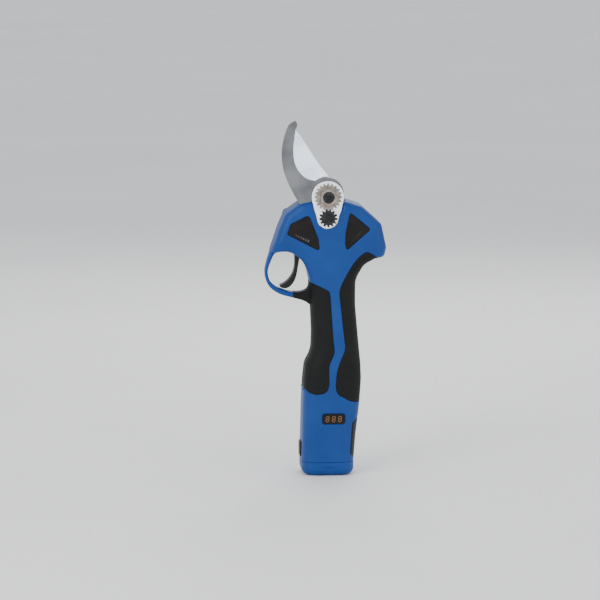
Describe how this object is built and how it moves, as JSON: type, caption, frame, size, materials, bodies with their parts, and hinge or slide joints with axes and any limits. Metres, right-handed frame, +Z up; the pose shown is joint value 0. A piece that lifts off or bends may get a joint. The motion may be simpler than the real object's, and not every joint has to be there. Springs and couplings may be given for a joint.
{
  "type": "battery electric pruner",
  "caption": "Hand-held battery pruner with a hooked counter blade, a geared moving blade, a finger-loop trigger and a slide-in battery pack that forms its foot.",
  "frame": {"origin": "middle of the flat foot of the battery pack", "axes": "+Z up along the handle to the blades, +X towards the palm side, -X towards the finger loop, +Y across the thickness, away from the side with the toothed nut"},
  "size_m": [0.105, 0.0444, 0.3093],
  "materials": {
    "blue_plastic": "satin",
    "black_rubber": "fine grain",
    "label_film": "gloss",
    "screw_steel": "black oxide",
    "black_plastic": "satin",
    "button_plastic": "satin",
    "window_plastic": "gloss",
    "display_plastic": "gloss",
    "plate_steel": "satin",
    "nut_steel": "satin",
    "black_oxide": "black oxide",
    "hook_steel": "brushed",
    "blade_steel": "polished",
    "bolt_steel": "satin",
    "cast_aluminium": "cast",
    "gear_steel": "machined",
    "case_steel": "satin",
    "stator_steel": "laminated",
    "copper": "enamelled",
    "spring_steel": "drawn",
    "magnet_steel": "plated",
    "board_plastic": "solder resist",
    "chip_plastic": "moulded",
    "lead_plastic": "silicone",
    "cell_plastic": "shrink film",
    "nickel": "plated"
  },
  "bodies": {
    "handle": {"housing_left": "blue_plastic", "housing_right": "blue_plastic", "front_grip_left": "black_rubber", "front_grip_right": "black_rubber", "rear_grip_left": "black_rubber", "rear_grip_right": "black_rubber", "side_panels_left": "label_film", "side_panels_right": "label_film", "casing_screws": "screw_steel", "blade_screws": "screw_steel", "lock_screw": "screw_steel", "trigger_pin": "screw_steel", "switch_panel": "black_plastic", "contact_block": "black_plastic", "display_window": "window_plastic", "display_module": "display_plastic", "cover_plate": "plate_steel", "fixed_blade": "hook_steel", "pivot_bolt": "bolt_steel", "bearings": "bolt_steel", "gear_head": "cast_aluminium", "gearbox_cover": "cast_aluminium", "ring_gear": "gear_steel", "gearbox_case": "case_steel", "motor_can": "case_steel", "motor_stator": "stator_steel", "motor_windings": "copper", "contact_blades": "copper", "trigger_spring": "spring_steel", "hall_board": "board_plastic", "controller_board": "board_plastic", "board_parts": "chip_plastic", "leads": "lead_plastic"},
    "blade": {"moving_blade": "blade_steel"},
    "output": {"bevel_pinion": "gear_steel", "output_shaft": "bolt_steel", "output_carrier": "gear_steel"},
    "middle": {"first_carrier": "gear_steel", "second_sun": "gear_steel"},
    "rotor": {"motor_rotor": "case_steel", "first_sun": "gear_steel"},
    "nut": {"nut_gear": "nut_steel"},
    "lock": {"lock_gear": "black_oxide"},
    "lever": {"trigger": "black_plastic", "trigger_magnet": "magnet_steel"},
    "battery": {"pack_case": "black_plastic", "pack_lid": "black_plastic", "pack_foot": "blue_plastic", "battery_cells": "cell_plastic", "cell_straps": "nickel", "pack_board": "board_plastic"},
    "latch": {"release_button": "black_plastic"},
    "power": {"power_button": "button_plastic"},
    "first_planet_1_body": {"first_planet_1": "gear_steel"},
    "first_planet_2_body": {"first_planet_2": "gear_steel"},
    "first_planet_3_body": {"first_planet_3": "gear_steel"},
    "second_planet_1_body": {"second_planet_1": "gear_steel"},
    "second_planet_2_body": {"second_planet_2": "gear_steel"},
    "second_planet_3_body": {"second_planet_3": "gear_steel"}
  },
  "joints": [
    {"name": "rotor_turn", "type": "hinge", "parent": "handle", "child": "rotor", "pos_m": [-0.0005, 0, 0.15], "axis": [0, 0, 1], "range_deg": [-3037.5, 0]},
    {"name": "blade_swing", "type": "hinge", "parent": "handle", "child": "blade", "pos_m": [-0.0005, 0, 0.2435], "axis": [0, 1, 0], "range_deg": [-0.1, 50.1]},
    {"name": "output_turn", "type": "hinge", "parent": "handle", "child": "output", "pos_m": [-0.0005, 0, 0.2], "axis": [0, 0, 1], "range_deg": [-151, 1]},
    {"name": "middle_turn", "type": "hinge", "parent": "handle", "child": "middle", "pos_m": [-0.0005, 0, 0.19], "axis": [0, 0, 1], "range_deg": [-676, 1]},
    {"name": "first_planet_1_turn", "type": "hinge", "parent": "middle", "child": "first_planet_1_body", "pos_m": [0.00625, 0, 0.183], "axis": [0, 0, 1], "range_deg": [-1, 1891]},
    {"name": "first_planet_2_turn", "type": "hinge", "parent": "middle", "child": "first_planet_2_body", "pos_m": [-0.00387, 0.00585, 0.183], "axis": [0, 0, 1], "range_deg": [-1, 1891]},
    {"name": "first_planet_3_turn", "type": "hinge", "parent": "middle", "child": "first_planet_3_body", "pos_m": [-0.00387, -0.00585, 0.183], "axis": [0, 0, 1], "range_deg": [-1, 1891]},
    {"name": "second_planet_1_turn", "type": "hinge", "parent": "output", "child": "second_planet_1_body", "pos_m": [0.00625, 0, 0.193], "axis": [0, 0, 1], "range_deg": [-1, 421]},
    {"name": "second_planet_2_turn", "type": "hinge", "parent": "output", "child": "second_planet_2_body", "pos_m": [-0.00387, 0.00585, 0.193], "axis": [0, 0, 1], "range_deg": [-1, 421]},
    {"name": "second_planet_3_turn", "type": "hinge", "parent": "output", "child": "second_planet_3_body", "pos_m": [-0.00387, -0.00585, 0.193], "axis": [0, 0, 1], "range_deg": [-1, 421]},
    {"name": "nut_turn", "type": "hinge", "parent": "handle", "child": "nut", "pos_m": [-0.0005, -0.0185, 0.2435], "axis": [0, 1, 0], "range_deg": [-36, 36]},
    {"name": "lock_turn", "type": "hinge", "parent": "handle", "child": "lock", "pos_m": [-0.0005, -0.0185, 0.22535], "axis": [0, 1, 0], "range_deg": [-56, 56]},
    {"name": "trigger_pull", "type": "hinge", "parent": "handle", "child": "lever", "pos_m": [-0.026, 0, 0.201], "axis": [0, -1, 0], "range_deg": [0, 16], "stiffness_Nm_per_rad": 0.35, "springref_deg": -8.59},
    {"name": "battery_slide", "type": "slide", "parent": "handle", "child": "battery", "axis": [0, 0, -1], "range_m": [0, 0.085]},
    {"name": "latch_press", "type": "slide", "parent": "handle", "child": "latch", "axis": [1, 0, 0], "range_m": [0, 0.0011], "stiffness_N_per_m": 1500, "springref_m": -0.001},
    {"name": "power_press", "type": "slide", "parent": "handle", "child": "power", "axis": [-1, 0, 0], "range_m": [0, 0.0009], "stiffness_N_per_m": 1200, "springref_m": -0.0008}
  ],
  "couplings": [
    {"joint": "blade_swing", "follows": "rotor_turn", "ratio": -0.016461},
    {"joint": "output_turn", "follows": "rotor_turn", "ratio": 0.049383},
    {"joint": "middle_turn", "follows": "rotor_turn", "ratio": 0.22222},
    {"joint": "second_planet_1_turn", "follows": "rotor_turn", "ratio": -0.13827},
    {"joint": "first_planet_1_turn", "follows": "rotor_turn", "ratio": -0.62222},
    {"joint": "second_planet_2_turn", "follows": "rotor_turn", "ratio": -0.13827},
    {"joint": "first_planet_2_turn", "follows": "rotor_turn", "ratio": -0.62222},
    {"joint": "second_planet_3_turn", "follows": "rotor_turn", "ratio": -0.13827},
    {"joint": "first_planet_3_turn", "follows": "rotor_turn", "ratio": -0.62222},
    {"joint": "lock_turn", "follows": "nut_turn", "ratio": -1.5385}
  ]
}
